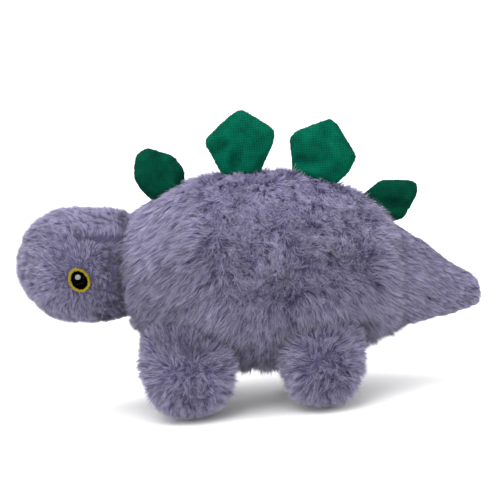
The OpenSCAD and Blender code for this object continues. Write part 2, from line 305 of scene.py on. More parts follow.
def through(table, column, u):
    """A smooth curve through a table's rows: cubic pieces whose slope at each row is that of
    the line between its neighbours."""
    at, value = table[:, 0], table[:, column]
    ahead = np.minimum(np.arange(len(at)) + 1, len(at) - 1)
    behind = np.maximum(np.arange(len(at)) - 1, 0)
    slope = (value[ahead] - value[behind]) / (at[ahead] - at[behind])
    i = np.clip(np.searchsorted(at, u) - 1, 0, len(at) - 2)
    span = at[i + 1] - at[i]
    t = (u - at[i]) / span
    start, end = 2 * t**3 - 3 * t**2 + 1, 3 * t**2 - 2 * t**3
    leave, arrive = t**3 - 2 * t**2 + t, t**3 - t**2
    return start * value[i] + leave * span * slope[i] + end * value[i + 1] + arrive * span * slope[i + 1]


def trunk_curves(x):
    """Floor, back and half width of the trunk at x, in millimetres."""
    u = np.clip((x - NECK_X) / TRUNK_LENGTH, 0, 1)
    return (
        BACK_HEIGHT * through(TRUNK, 1, u),
        BACK_HEIGHT * through(TRUNK, 2, u),
        HALF_TRUNK * through(TRUNK, 3, u),
    )


def middle_of_trunk(x):
    """Height of the trunk's widest line at x."""
    low, high, _ = trunk_curves(x)
    return low + WIDEST * (high - low)


def inside_trunk(points, depth):
    """How far into the trunk's oval a point is: under 1 is inside the surface at that depth."""
    x, y, z = points.T
    low, high, half = trunk_curves(x)
    middle = middle_of_trunk(x)
    tall = np.where(z > middle, high - middle, middle - low) - depth
    share = np.hypot(y / np.maximum(half - depth, THINNEST), (z - middle) / np.maximum(tall, THINNEST))
    return np.where((x > NECK_X) & (x < TAIL_TIP - depth), share, OUTSIDE)


print("trunk runs from", NECK_X.round(1), "to", TAIL_TIP.round(1), "mm")

# %% Surfaces of the forms
SEAM_ANGLE = np.radians(142)
TAIL_CAP, NECK_CAP, NECK_LEAN = 11.0, 7.0, 32.0


def ring_angles(count):
    """Angles of a whole turn, measured from straight up, towards the toy's right side."""
    return np.linspace(0, 2 * np.pi, count, endpoint=False)


def trunk_surface(depth, rows=56, columns=72):
    """Rings of points: at each x an oval whose upper and lower halves differ in height. Both
    ends close as half ellipses: x runs on by a cap's length times the sine of a quarter turn
    while the ring shrinks by its cosine."""
    cap = np.sin(np.linspace(0, np.pi / 2, 8)[1:])
    shrink = np.cos(np.linspace(0, np.pi / 2, 8)[1:])
    tail_start, tail_cap = TAIL_TIP - TAIL_CAP, TAIL_CAP - 0.35 * depth
    straight = np.linspace(NECK_X, tail_start, rows)
    x = np.concatenate([(NECK_X - NECK_CAP * cap)[::-1], straight, tail_start + tail_cap * cap])
    size = np.concatenate([shrink[::-1], np.ones(rows), shrink])
    low, high, half = trunk_curves(np.clip(x, NECK_X, tail_start))
    middle = low + WIDEST * (high - low)
    a = ring_angles(columns)[None, :]
    tall = np.where(np.cos(a) > 0, (high - middle)[:, None], (middle - low)[:, None]) - depth
    tall = np.maximum(tall, THINNEST)
    y = size[:, None] * np.maximum(half[:, None] - depth, THINNEST) * np.sin(a)
    z = size[:, None] * tall * np.cos(a)
    lean = np.clip(1 - (x - NECK_X) / NECK_LEAN, 0, 1)[:, None]
    return np.stack([x[:, None] + lean * z * np.tan(HEAD_TILT), y, middle[:, None] + z], axis=-1)


HEAD_TILT = math.radians(6)
HEAD_LENGTH, HEAD_ROUND = 79.0, 36.0
HEAD_HALF, HEAD_ABOVE, HEAD_BELOW = 38.0, 45.8, 37.7
NECK_SHARE, NECK_SWELL = 0.93, 16.0
CHIN_BACK, CHIN_DOWN, CHIN_START, CHIN_RUN = 9.0, 30.0, 35.0, 35.0


def from_head(local):
    """Points in the head's own frame, turned by its tilt and carried to the neck."""
    c, s = math.cos(HEAD_TILT), math.sin(HEAD_TILT)
    x, y, z = local[..., 0], local[..., 1], local[..., 2]
    return NECK + np.stack([x * c + z * s, y, z * c - x * s], axis=-1)


def to_head(points):
    """The same turned back: points of the toy's frame, in the head's own."""
    c, s = math.cos(HEAD_TILT), math.sin(HEAD_TILT)
    x, y, z = np.moveaxis(points - NECK, -1, 0)
    return np.stack([x * c - z * s, y, z * c + x * s], axis=-1)


def chin_share(x, z):
    """How much of the chin's set-back a point of the head's own frame gets, from 0 to 1."""
    return np.clip(-z / CHIN_DOWN, 0, 1) ** 1.5 * np.clip((-x - CHIN_START) / CHIN_RUN, 0, 1)


def head_surface(depth, rows=22, columns=64):
    """A capsule: a barrel that narrows a little at the neck, with a half ellipse for the
    snout and a flat half ellipse inside the neck."""
    quarter = np.linspace(0, np.pi / 2, 14)[1:]
    d = np.concatenate([
        HEAD_LENGTH - HEAD_ROUND + (HEAD_ROUND - depth) * np.sin(quarter[::-1]),
        np.linspace(HEAD_LENGTH - HEAD_ROUND, 0, rows),
        -NECK_CAP * np.sin(quarter),
    ])
    size = np.concatenate([np.cos(quarter[::-1]), np.ones(rows), np.cos(quarter)])
    fill = NECK_SHARE + (1 - NECK_SHARE) * np.sin(np.pi / 2 * np.clip(d / NECK_SWELL, 0, 1))
    a = ring_angles(columns)[None, :]
    tall = np.where(np.cos(a) > 0, HEAD_ABOVE, HEAD_BELOW) * fill[:, None] - depth
    y = size[:, None] * (HEAD_HALF * fill[:, None] - depth) * np.sin(a)
    z = size[:, None] * tall * np.cos(a)
    x = -d[:, None] + CHIN_BACK * chin_share(-d[:, None], z)
    return from_head(np.stack([x, y, z], -1))


def inside_head(points, depth):
    """How far into the head's capsule a point is: under 1 is inside the surface."""
    x, y, z = np.moveaxis(to_head(points), -1, 0)
    tall = np.where(z > 0, HEAD_ABOVE, HEAD_BELOW) - depth
    nose = np.maximum(-x - (HEAD_LENGTH - HEAD_ROUND), 0) / (HEAD_ROUND - depth)
    share = np.sqrt((y / (HEAD_HALF - depth)) ** 2 + (z / tall) ** 2 + nose**2)
    return np.where(x < 2, share, OUTSIDE)


# Each leg: its middle along the toy, its side, and half its length.
LEGS = {
    "front_left": (-47.5, -1, 35.5),
    "front_right": (-47.5, 1, 35.5),
    "rear_left": (45.0, -1, 32.5),
    "rear_right": (45.0, 1, 32.5),
}
LEG_OUT, LEG_HALF, LEG_HIGH, LEG_IN = 37.0, 22.5, 66.0, 5.0
# Up a leg: the share of its height, and the size of its oval there.
LEG_PROFILE = np.array([
    [0.00, 0.44],
    [0.06, 0.60],
    [0.16, 0.77],
    [0.32, 0.93],
    [0.48, 1.00],
    [0.64, 1.00],
    [0.82, 0.95],
    [1.00, 0.78],
])


def leg_surface(leg, depth, rows=26, columns=48):
    """A pouch: ovals from a flat sole up, whose size follows a smooth profile, and which move
    in towards the body as they rise. Both ends close on a point in the middle."""
    middle, side, half_length = LEGS[leg]
    share = np.linspace(0, 1, rows)
    size = through(LEG_PROFILE, 1, share)
    closing = np.linspace(0, 1, 5)[:-1]
    share = np.concatenate([np.zeros(4), share, np.ones(4)])
    size = np.concatenate([size[0] * closing, size, size[-1] * closing[::-1]])
    a = -side * ring_angles(columns)[None, :]
    x = middle + size[:, None] * (half_length - depth) * np.cos(a)
    inwards = LEG_IN * share[:, None] ** 2
    y = side * (LEG_OUT - inwards) + size[:, None] * (LEG_HALF - depth) * np.sin(a)
    z = depth + share * (LEG_HIGH - depth)
    return np.stack([x, y, np.broadcast_to(z[:, None], y.shape)], axis=-1)


def inside_leg(points, leg, depth):
    """How far into a leg's pouch a point is: under 1 is inside the surface."""
    middle, side, half_length = LEGS[leg]
    share = np.clip((points[:, 2] - depth) / (LEG_HIGH - depth), 0, 1)
    size = through(LEG_PROFILE, 1, share)
    y = points[:, 1] - side * (LEG_OUT - LEG_IN * share**2)
    oval = np.hypot((points[:, 0] - middle) / (half_length - depth), y / (LEG_HALF - depth)) / size
    return np.where((points[:, 2] > depth - 2) & (points[:, 2] < LEG_HIGH), oval, OUTSIDE)


def closed_surface(name, rings, material):
    """A mesh through rings of points: four-sided faces between neighbouring rings, with the
    last column joined to the first. The end rings shrink to a point, which is merged."""
    rows, columns = rings.shape[:2]
    r, c = np.meshgrid(np.arange(rows - 1), np.arange(columns), indexing="ij")
    here, beside = r * columns + c, r * columns + (c + 1) % columns
    faces = np.stack([here, beside, beside + columns, here + columns], axis=-1).reshape(-1, 4)
    return faced_outwards(piece_of(name, rings.reshape(-1, 3) * MM, faces, material), 0.01 * MM)


print("leg profile has", len(LEG_PROFILE), "sizes")

# %% [markdown]
# ## Filling a cover
#
# A sewn cover is slack until it is stuffed, and the filling then pushes it out everywhere
# except at the seams, which hold it back. Cloth simulation does the same: the form starts a
# little small, is remeshed into even cells that can stretch alike, and is blown up with
# pressure while the seam's own points stay pinned. How far any point may move is capped, so
# that the result keeps its size, and the result is written back into the mesh.

# %% Cloth under pressure
FILL_FRAMES = 20
FILL_WEIGHT, FILL_STIFF = 0.02, 5.0


def remeshed(piece, cell):
    """Rebuilds the piece's mesh from even cells of the given size in millimetres."""
    grid = piece.modifiers.new("even cells", "REMESH")
    grid.mode = "VOXEL"
    grid.voxel_size = cell * MM
    grid.use_smooth_shade = True
    result = bpy.data.meshes.new_from_object(piece.evaluated_get(bpy.context.evaluated_depsgraph_get()))
    piece.modifiers.remove(grid)
    piece.data = result
    return piece


def fill_out(piece, seam, pressure, cap):
    """Blows a closed cover up like a stuffed one. seam gives, for each corner, how firmly a
    seam holds it, from 0 to 1. No corner moves further than the cap, in millimetres."""
    start = corners(piece)
    held = piece.vertex_groups.new(name="seam")
    for index in np.nonzero(seam > 0.02)[0].tolist():
        held.add([index], float(seam[index]), "REPLACE")
    cloth = piece.modifiers.new("filling", "CLOTH")
    cloth.settings.vertex_group_mass = "seam"
    cloth.settings.use_pressure = True
    cloth.settings.uniform_pressure_force = pressure
    cloth.settings.effector_weights.gravity = 0
    cloth.settings.quality = 4
    cloth.settings.mass = FILL_WEIGHT
    cloth.settings.air_damping = 3
    cloth.settings.tension_stiffness = FILL_STIFF
    cloth.settings.compression_stiffness = FILL_STIFF
    cloth.settings.bending_stiffness = 0.5
    cloth.point_cache.frame_start = 1
    cloth.point_cache.frame_end = FILL_FRAMES
    for number in range(1, FILL_FRAMES + 1):
        bpy.context.scene.frame_set(number)
    blown = piece.evaluated_get(bpy.context.evaluated_depsgraph_get())
    moved = np.empty(3 * len(blown.data.vertices), np.float32)
    blown.data.vertices.foreach_get("co", moved)
    step = moved.reshape(-1, 3) - start
    length = np.linalg.norm(step, axis=1, keepdims=True)
    step *= np.minimum(1, cap * MM / np.maximum(length, 1e-9))
    piece.modifiers.remove(cloth)
    piece.vertex_groups.clear()
    bpy.context.scene.frame_set(1)
    piece.data.vertices.foreach_set("co", (start + step).astype(np.float32).ravel())
    piece.data.update()
    print(piece.name, "moved", (np.linalg.norm(step, axis=1).mean() / MM).round(2), "mm on average")


def near(distance, width):
    """1 on a line and 0 well away from it, as a bell of the given width in millimetres."""
    return np.exp(-((distance / width) ** 2))


# The backing is a real knit, and its dark lavender is also painted shade: the dark at the roots of the pile,
# where light doesn't reach, so that gaps between locks read as shade.
backing_with_root_shade, _ = cloth_material("fur_backing_knit", "#5d5878", 0.9)
print("filling ready")

# %% [markdown]
# ## The stuffed forms
#
# Trunk, head and legs, each a little under its full size before it is filled. The trunk's
# seams run along the middle of the back, along both edges of the belly, across the belly,
# and round the neck. The head has its seam on the middle line, and a leg's seam runs round
# it between its outer and inner panel. A cut through the trunk then gives two pieces, because
# the front end has to follow the neck and the rear end the tail.

# %% Forms
CROSS_SEAM_X = 1.0
SWELL, LEG_SWELL = 1.5, 1.0
FUR_PRESSURE = 900.0


def trunk_seams(points):
    """How firmly the trunk's seams hold each point, from its distance to the nearest one."""
    low, high, half = trunk_curves(points[:, 0])
    middle = low + WIDEST * (high - low)
    tall = np.where(points[:, 2] > middle, high - middle, middle - low)
    a = np.abs(np.arctan2(points[:, 1] / half, (points[:, 2] - middle) / tall))
    edge = np.abs(a - SEAM_ANGLE) * half
    across = np.where(a > SEAM_ANGLE - 0.25, np.abs(points[:, 0] - CROSS_SEAM_X), 99)
    back = np.where(points[:, 2] > middle, np.abs(points[:, 1]), 99)
    round_neck = np.abs(points[:, 0] - NECK_X - (points[:, 2] - NECK[2]) * math.tan(HEAD_TILT))
    return np.max([near(d, 3.0) for d in (edge, across, back, round_neck)], axis=0)


def head_seams(points):
    """The head's seam on its middle line, and the one round the neck."""
    local = to_head(points)
    return np.maximum(near(points[:, 1], 2.5), near(np.minimum(-local[:, 0], 30), 4.0))


def leg_seams(points, leg):
    """A leg's seam, on the plane that halves it, and its top, where the body holds it."""
    _, side, _ = LEGS[leg]
    share = np.clip(points[:, 2] / LEG_HIGH, 0, 1)
    round_it = near(points[:, 1] - side * (LEG_OUT - LEG_IN * share**2), 2.0)
    return np.maximum(round_it, near(points[:, 2] - LEG_HIGH, 12))


def stuffed_form(name, rings, cell, seams, cap=3.5):
    """A closed form, remeshed into even cells, filled out against its seams."""
    form = remeshed(closed_surface(name, rings, backing_with_root_shade), cell)
    fill_out(form, seams(corners(form) / MM), FUR_PRESSURE, cap)
    return form


trunk = stuffed_form("trunk_backing", trunk_surface(BODY_PILE + SWELL), 5.0, trunk_seams)
head = stuffed_form("head_backing", head_surface(HEAD_PILE + SWELL), 4.5, head_seams)
legs = {
    leg: stuffed_form(f"{leg}_leg_backing", leg_surface(leg, LEG_PILE + LEG_SWELL), 4.5,
                      functools.partial(leg_seams, leg=leg), cap=2.5)
    for leg in LEGS
}
for form in (trunk, head, *legs.values()):
    extent = corners(form) / MM
    print(form.name, len(extent), "corners,", extent.min(0).round(), extent.max(0).round())

# %% [markdown]
# ## Cutting the trunk in two
#
# The chest has to bend with the neck and the rump with the tail, and a piece can bend at one
# joint only. The trunk is cut through the belly's cross seam, where it never bends, and each
# half is closed again with a flat face that stays hidden inside.

# %% Cut


def half_of(piece, name, side):
    """The part of a piece before (-1) or behind (1) the cross seam, closed where it is cut."""
    work = bmesh.new()
    work.from_mesh(piece.data)
    plane = Vector((CROSS_SEAM_X * MM, 0, 0))
    cut = bmesh.ops.bisect_plane(
        work, geom=[*work.verts, *work.edges, *work.faces], plane_co=plane,
        plane_no=(side, 0, 0), clear_inner=True,
    )
    rim = [part for part in cut["geom_cut"] if isinstance(part, bmesh.types.BMEdge)]
    bmesh.ops.holes_fill(work, edges=rim)
    bmesh.ops.recalc_face_normals(work, faces=work.faces)
    mesh = bpy.data.meshes.new(name)
    work.to_mesh(mesh)
    work.free()
    mesh.materials.append(backing_with_root_shade)
    half = bpy.data.objects.new(name, mesh)
    bpy.context.scene.collection.objects.link(half)
    return half


chest = half_of(trunk, "chest_backing", -1)
rump = half_of(trunk, "rump_backing", 1)
print("chest", len(chest.data.polygons), "faces, rump", len(rump.data.polygons), "faces")

# %% [markdown]
# ## Random fields for the pile
#
# Fur isn't random hair by hair: neighbouring hairs lie alike and stick together in tufts.
# Two fields give that. The first is a smooth random wave through space. The second cuts
# space into cells, each with one tuft at its middle, and tells every hair which tuft is its
# nearest. Both work on whole arrays of points and are the same at every run.

# %% Random fields
TABLE = 8191
PRIMES = (73856093, 19349663, 83492791, 2654435761)


def cell_number(cells, seed):
    """A number from 0 to the table's length for each cell of a cubic lattice: its three whole
    coordinates times large primes, mixed by exclusive or."""
    x, y, z = (cells[..., i].astype(np.int64) for i in range(3))
    return ((x * PRIMES[0]) ^ (y * PRIMES[1]) ^ (z * PRIMES[2]) ^ (seed * PRIMES[3])) % TABLE


def wave(points, size, seed, columns=1):
    """A smooth random wave from -1 to 1: a random value at each corner of a lattice of the
    given size, blended across the cube by 3t^2 - 2t^3 along each axis."""
    table = np.random.default_rng(seed).uniform(-1, 1, (TABLE, columns))
    cell = np.floor(points / size)
    t = points / size - cell
    t = t * t * (3 - 2 * t)
    total = np.zeros((len(points), columns))
    for corner in itertools.product((0, 1), repeat=3):
        weight = np.prod(np.where(corner, t, 1 - t), axis=1, keepdims=True)
        total += weight * table[cell_number(cell + corner, seed)]
    return total if columns > 1 else total[:, 0]


def tufts(points, size, seed):
    """The nearest tuft's middle and its number for each point. Each cell of the lattice has
    one middle, moved at random inside it, and the 27 cells round a point are compared."""
    table = np.random.default_rng(seed).random((TABLE, 3))
    cell = np.floor(points / size)
    best = np.full(len(points), np.inf)
    middle, number = np.zeros_like(points), np.zeros(len(points), np.int64)
    for around in itertools.product((-1, 0, 1), repeat=3):
        index = cell_number(cell + around, seed)
        spot = (cell + around + table[index]) * size
        distance = ((points - spot) ** 2).sum(1)
        closer = distance < best
        best = np.where(closer, distance, best)
        middle[closer], number[closer] = spot[closer], index[closer]
    return middle, number


print("fields ready")

# %% [markdown]
# ## Growing the pile
#
# A hair system would be drawn by the renderer only, and a file for other programs would lose
# it, so each lock of hair is real geometry: a thin double spike of six triangles that starts
# as a point under the backing, is thickest a third of the way up, bends there, and runs out
# in a fine tip. Roots are scattered evenly over the filled form. Each lock then leans with
# the comb's direction, with its tuft, and a little on its own.

# %% Locks of hair
LOCK_FACES = np.array([[0, 2, 1], [0, 3, 2], [0, 1, 3], [1, 2, 4], [2, 3, 4], [3, 1, 4]])
ROOT_DEPTH = 1.5
LOWEST = 0.4
LARGE_TUFT, SMALL_TUFT = 9.0, 2.6
LARGE_PULL, SMALL_PULL = 0.06, 0.24


def scatter(piece, count, seed):
    """Even random points on a mesh, with its smooth normals: triangles are drawn in
    proportion to their area, and a point in each from two random numbers folded at 1."""
    mesh = piece.data
    mesh.calc_loop_triangles()
    corner = np.empty(3 * len(mesh.loop_triangles), np.int32)
    mesh.loop_triangles.foreach_get("vertices", corner)
    corner = corner.reshape(-1, 3)
    normal = np.empty(3 * len(mesh.vertices), np.float32)
    mesh.vertex_normals.foreach_get("vector", normal)
    at, normal = corners(piece)[corner] / MM, normal.reshape(-1, 3).astype(float)[corner]
    area = np.linalg.norm(np.cross(at[:, 1] - at[:, 0], at[:, 2] - at[:, 0]), axis=1) / 2
    rng = np.random.default_rng(seed)
    pick = np.searchsorted(np.cumsum(area), rng.random(count) * area.sum())
    u, v = rng.random((2, count, 1))
    fold = u + v > 1
    u, v = np.where(fold, 1 - u, u), np.where(fold, 1 - v, v)
    point = at[pick, 0] * (1 - u - v) + at[pick, 1] * u + at[pick, 2] * v
    across = normal[pick, 0] * (1 - u - v) + normal[pick, 1] * u + normal[pick, 2] * v
    return point, unit(across), area.sum()


def locks(name, root, normal, coat, width, seed):
    """One mesh of locks. A lock points along the normal times the coat's stand, plus the comb's
    direction, plus its tuft's own lean. Its tip is drawn towards the middles of a large and a
    small tuft, and its lower part stands up more, so that the lock bends."""
    comb, length, stand, tousle, tone = coat
    rng = np.random.default_rng(seed)
    count = len(root)
    large, _ = tufts(root, LARGE_TUFT, seed)
    small, number = tufts(root, SMALL_TUFT, seed + 50)
    lean, own = rng.normal(0, 1, (TABLE, 3))[number], rng.normal(0, 1, (count, 3))
    point = unit(stand[:, None] * normal + comb + tousle[:, None] * lean + 0.12 * own)
    point = unit(point - np.minimum((point * normal).sum(1, keepdims=True) - 0.12, 0) * normal)
    even = rng.uniform(0.85, 1.1, count) * (0.84 + 0.3 * rng.random(TABLE)[number])
    size = (length * even)[:, None]
    pull = LARGE_PULL * (large - root) + SMALL_PULL * (small - root)
    pull -= (pull * point).sum(1, keepdims=True) * point
    bend = root + 0.38 * size * unit(0.55 * normal + 0.7 * point) + 0.4 * pull
    tip = bend + 0.62 * size * point + 0.6 * pull
    side = unit(np.cross(point, own))
    third = np.cross(unit(tip - bend), side)
    half = (width * rng.uniform(0.75, 1.25, count))[:, None] / 2
    turn = 2 * np.pi / 3 * np.arange(3)
    ring = [bend + half * (math.cos(t) * side + math.sin(t) * third) for t in turn]
    points = np.stack([root - ROOT_DEPTH * normal, *ring, tip], axis=1)
    points[..., 2] = np.maximum(points[..., 2], LOWEST)
    faces = (LOCK_FACES[None] + 5 * np.arange(count)[:, None, None]).reshape(-1, 3)
    piece = piece_of(name, points.reshape(-1, 3) * MM, faces, pile_fibre, smooth=False)
    shade = tone + 0.40 * (rng.random(TABLE)[number] - 0.5) + 0.40 * (rng.random(count) - 0.5)
    along = np.array([0.02, 0.40, 0.40, 0.40, 0.98])[LOCK_FACES].ravel()
    uv = np.stack(np.broadcast_arrays(np.clip(shade, 0.02, 0.98)[:, None], along[None]), -1)
    layer = piece.data.uv_layers.new(name="OFBake")
    layer.data.foreach_set("uv", uv.astype(np.float32).ravel())
    return piece


print("a lock has", len(LOCK_FACES), "triangles")

# %% [markdown]
# ## Faux fur
#
# The pile is modacrylic: fine, soft and slightly glossy, dyed lavender in the bulk and so
# the same colour all through. What the eye reads as colour change is depth, because light
# doesn't reach the roots, and small differences between locks. The colour therefore runs
# from dark at the root to light at the tip, and each lock has a tone of its own. Both are
# kept in the piece's own map: across it the tone, up it the place along the hair.

# %% Pile material
pile_fibre, pile_shader = cloth_material("modacrylic_pile", "#7d7894", 0.6, specular=0.2)
pile_map = node(pile_fibre, "ShaderNodeUVMap", {"uv_map": "OFBake"})
pile_axes = node(pile_fibre, "ShaderNodeSeparateXYZ", Vector=pile_map.outputs["UV"])
pile_ramp = node(pile_fibre, "ShaderNodeValToRGB", Fac=pile_axes.outputs["Y"])
pile_stops = pile_ramp.color_ramp.elements
pile_stops.new(0.45)
for stop, code in zip(pile_stops, ("#403963", "#6d6889", "#a6a3b6")):
    stop.color = linear(code)
pile_tone = node(pile_fibre, "ShaderNodeMapRange", {"To Min": 0.45, "To Max": 1.55},
                 Value=pile_axes.outputs["X"])
pile_mixed = node(pile_fibre, "ShaderNodeVectorMath", {"operation": "SCALE"},
                  Vector=pile_ramp.outputs["Color"], Scale=pile_tone.outputs["Result"])
pile_fibre.node_tree.links.new(pile_mixed.outputs["Vector"], pile_shader.inputs["Base Color"])
print("pile material ready")

# %% [markdown]
# ## Combing the toy
#
# The comb's direction is what gives each part its character. On the flank the pile runs out
# from the middle towards the edges and hangs a little, in small curls over the upper half,
# and along the back it falls to both sides. The chest is combed down and forward from a
# parting at the shoulder, and the tail back and down from a ridge at its root. On the head it
# runs from the eye outwards, shorter, and forward over the crown, with a crease above the
# cheek, where painted shade darkens the pile. A foot has a whorl in its middle. Where two forms
# meet, the locks whose root lies inside the other form are left out, since nobody could see
# them. The waves and ramps below are shares that were tuned: how much each habit bends,
# shortens or shades a lock. The shading is painted shade and light in the locks' tone.

# %% Comb directions
DOWN = np.array([0.0, 0.0, -1.0])
FLANK = np.array([30.0, 105.0])
FLANK_REACH = (72, 48)
SHOULDER, TAIL_ROOT = -24.0, 92.0
EYE_ALONG, EYE_DOWN, EYE_HALF, EYE_TALL = 32.0, 0.6, 7.4, 8.9
EYE_TILT = math.radians(32)
EYE_REACH = (17, 17)
CREASE_UP = 24.0
FOOT_REACH = (28, 24)
PLATE_X = [JOINT[f"plate_{number}_fold"]["pos_m"][0] / MM for number in (1, 2, 3, 4)]


def ramp(value, start, end):
    """0 at the start, 1 at the end, straight between them."""
    return np.clip((value - start) / (end - start), 0, 1)


def column(values):
    """A row of numbers as a column, to multiply rows of vectors by."""
    return values[:, None]


def outwards(x, z, middle, reach):
    """Directions away from a point of the side view, longer further out, up to length 1."""
    out = np.stack([(x - middle[0]) / reach[0], 0 * x, (z - middle[1]) / reach[1]], axis=1)
    return out / np.maximum(1, np.linalg.norm(out, axis=1, keepdims=True))


def flat_on(comb, normal):
    """The part of each direction that lies in the surface."""
    return comb - (comb * normal).sum(1, keepdims=True) * normal


def trunk_coat(root, normal):
    """Outwards from the middle of the flank, back along the tail, forward and down the chest."""
    x, y, z = root.T
    out = outwards(x, z, FLANK, FLANK_REACH)
    edge = np.linalg.norm(out, axis=1)
    chest, tail = ramp(x, SHOULDER, SHOULDER - 22), ramp(x, TAIL_ROOT - 12, TAIL_ROOT + 25)
    curl = ramp(z, 80, 104) * ramp(x, -46, -14) * ramp(x, 95, 70)
    comb = column(0.95 * edge * (1 - 0.55 * curl) * (1 - 0.6 * chest)) * out + 0.15 * DOWN
    comb += column(tail) * np.array([0.6, 0, -0.45]) + column(chest) * np.array([-0.5, 0, -0.6])
    comb += column(0.45 - 0.3 * edge + 0.2 * curl) * wave(root, 13, 5, 3)
    comb += column(0.4 - 0.22 * edge + 0.2 * curl) * wave(root, 4.5, 8, 3)
    fall = ramp(z - middle_of_trunk(x), 25, 50)
    comb += column(0.7 * fall * np.where(y < 4, -1, 1)) * np.array([0, 1, 0])
    seam = near(x - CROSS_SEAM_X, 2.0) * ramp(z, 66, 58)
    leg = np.min([inside_leg(root, leg, 0) for leg in LEGS], axis=0)
    ridge, behind = near(x - TAIL_ROOT, 6), near(x - TAIL_ROOT - 9, 5)
    at_plate = np.max([near(x - plate_x, 15) for plate_x in PLATE_X], axis=0)
    at_plate *= ramp(np.abs(y), 18, 6) * ramp(z, middle_of_trunk(x), middle_of_trunk(x) + 20)
    length = 12.0 - 3.5 * ramp(x, -60, NECK_X) - 3.0 * ramp(x, 110, 150) - 4.5 * at_plate
    length += 2.5 * ridge - 2.0 * behind - 4 * seam - 2.0 * curl - 2.5 * tail
    stand = 0.55 - 0.2 * edge - 0.12 * at_plate - 0.16 * tail - 0.1 * chest - 0.1 * curl
    tousle = 0.3 - 0.16 * edge
    # Besides the random waves, the tone holds painted shade and light. It is darker along the cross seam,
    # behind the tail's ridge, low on the body, on the chest, where a leg meets the trunk and at the
    # shoulder's parting. It is lighter towards the top, where more light falls.
    tone = 0.5 + 0.12 * wave(root, 24, 21) + 0.14 * wave(root, 7, 22) - 0.12 * behind - 0.3 * seam
    tone += 0.01 - 0.2 * ramp(z, 75, 45) - 0.2 * chest + 0.5 * ramp(z, 105, 155) - 0.3 * ramp(leg, 1.3, 1.0)
    tone += 0.32 * curl * wave(root, 3.5, 27) - 0.22 * near(x - SHOULDER, 2.5) * ramp(z, 95, 125)
    return flat_on(comb, normal), length, stand, tousle, tone


def eye_share(local):
    """How far a point of the head's own frame is from the nearer eye: 1 on the eye's edge."""
    c, s = math.cos(EYE_TILT), math.sin(EYE_TILT)
    along, up = local[:, 0] + EYE_ALONG, local[:, 2] + EYE_DOWN
    return np.hypot((along * c + up * s) / EYE_HALF, (up * c - along * s) / EYE_TALL)



def head_coat(root, normal):
    """Outwards from the eye. Towards the neck it is short and tousled under a crease, and darkened there by
    painted shade.
    """
    local = to_head(root)
    x, _, z = local.T
    out = outwards(x, z, (-EYE_ALONG, -EYE_DOWN), EYE_REACH)
    cheek = ramp(x, -26, -13) * ramp(z, 24, 12)
    crease = ramp(x, -38, -28) * near(z - CREASE_UP, 1.5)
    crown, neck = ramp(z, 22, 34), ramp(x, -9, -3)
    part = ramp(x, -30, -15) * near(z - CREASE_UP, 7) * np.sign(z - CREASE_UP)
    comb = column((0.85 - 0.6 * cheek) * (1 - 0.6 * crown)) * out
    comb += column(0.3 + 0.3 * cheek - 0.15 * crown) * wave(root, 9, 6, 3)
    comb += 0.12 * DOWN + column(crown) * np.array([-0.6, 0, 0])
    comb += column(0.7 * part) * -DOWN + column(0.2 + 0.5 * cheek - 0.1 * crown) * wave(root, 4, 9, 3)
    close = ramp(eye_share(local), 2.3, 1.0)
    length = 6.4 - 1.8 * cheek - 1.9 * close - 3.5 * crease
    stand = 0.45 + 0.3 * cheek - 0.1 * close - 0.12 * crown
    tousle = 0.16 + 0.22 * cheek
    # Besides the random waves, the tone holds painted shade and light. It is darker on the cheek, in the
    # crease, at the neck and low down. It is lighter over the crown, where more light falls.
    tone = 0.54 + 0.12 * wave(root, 14, 23) + 0.12 * wave(root, 6, 24)
    tone += 0.6 * cheek * wave(root, 2.8, 28) - 0.42 * cheek - 0.9 * crease - 0.4 * neck
    tone += 0.2 * crown - 0.18 * ramp(z, -8, -24)
    return flat_on(comb, normal), length, stand, tousle, tone


def leg_coat(root, normal, leg):
    """Round a whorl in the middle of the foot, outwards, and down a little."""
    x, _, z = root.T
    middle, side, _ = LEGS[leg]
    out = outwards(x, z, (middle + 3, 22), FOOT_REACH)
    edge = np.linalg.norm(out, axis=1)
    comb = 0.7 * out + 0.3 * wave(root, 11, 7, 3) + 0.3 * wave(root, 5, 10, 3)
    comb += column(0.1 + 0.5 * edge * ramp(z, 60, 30)) * DOWN
    comb -= column(0.5 * edge) * np.array([0, side, 0])
    length = 9.5 - 4.0 * ramp(z, 16, 5) - 1.5 * ramp(z, 44, 58)
    # Besides the random waves, the tone holds painted shade. It is darker in the middle of the whorl, at the
    # top of the leg under the body, and where the leg meets the trunk.
    tone = 0.58 + 0.14 * wave(root, 18, 25) + 0.12 * wave(root, 7, 26) - 0.1 * ramp(edge, 0.5, 0.1)
    tone -= 0.2 * ramp(z, 40, 56) + 0.35 * ramp(inside_trunk(root, BODY_PILE), 1.22, 1.0)
    return flat_on(comb, normal), length, 0.5 - 0.2 * edge, 0.3 - 0.16 * edge, tone


# %% Grow the pile
LOCK_LIMIT = 33000
LOCKS_PER_MM2 = 2.1


def grow(name, form, coat, keep, seed, width=0.34, dense=1.0):
    """Grows a form's pile, in pieces of at most LOCK_LIMIT locks."""
    area = scatter(form, 1, seed)[2]
    root, normal, _ = scatter(form, int(area * LOCKS_PER_MM2 * dense), seed)
    kept = keep(root)
    root, normal = root[kept], normal[kept]
    order = np.argsort(root[:, 0], kind="stable")
    parts = np.array_split(order, math.ceil(len(root) / LOCK_LIMIT))
    print(name, len(root), "locks in", len(parts), "pieces over", round(area / 100), "cm2")
    pieces = []
    for number, part in enumerate(parts, 1):
        at, up = root[part], normal[part]
        pieces.append(locks(f"{name}_{number}", at, up, coat(at, up), width, seed + number))
    return pieces


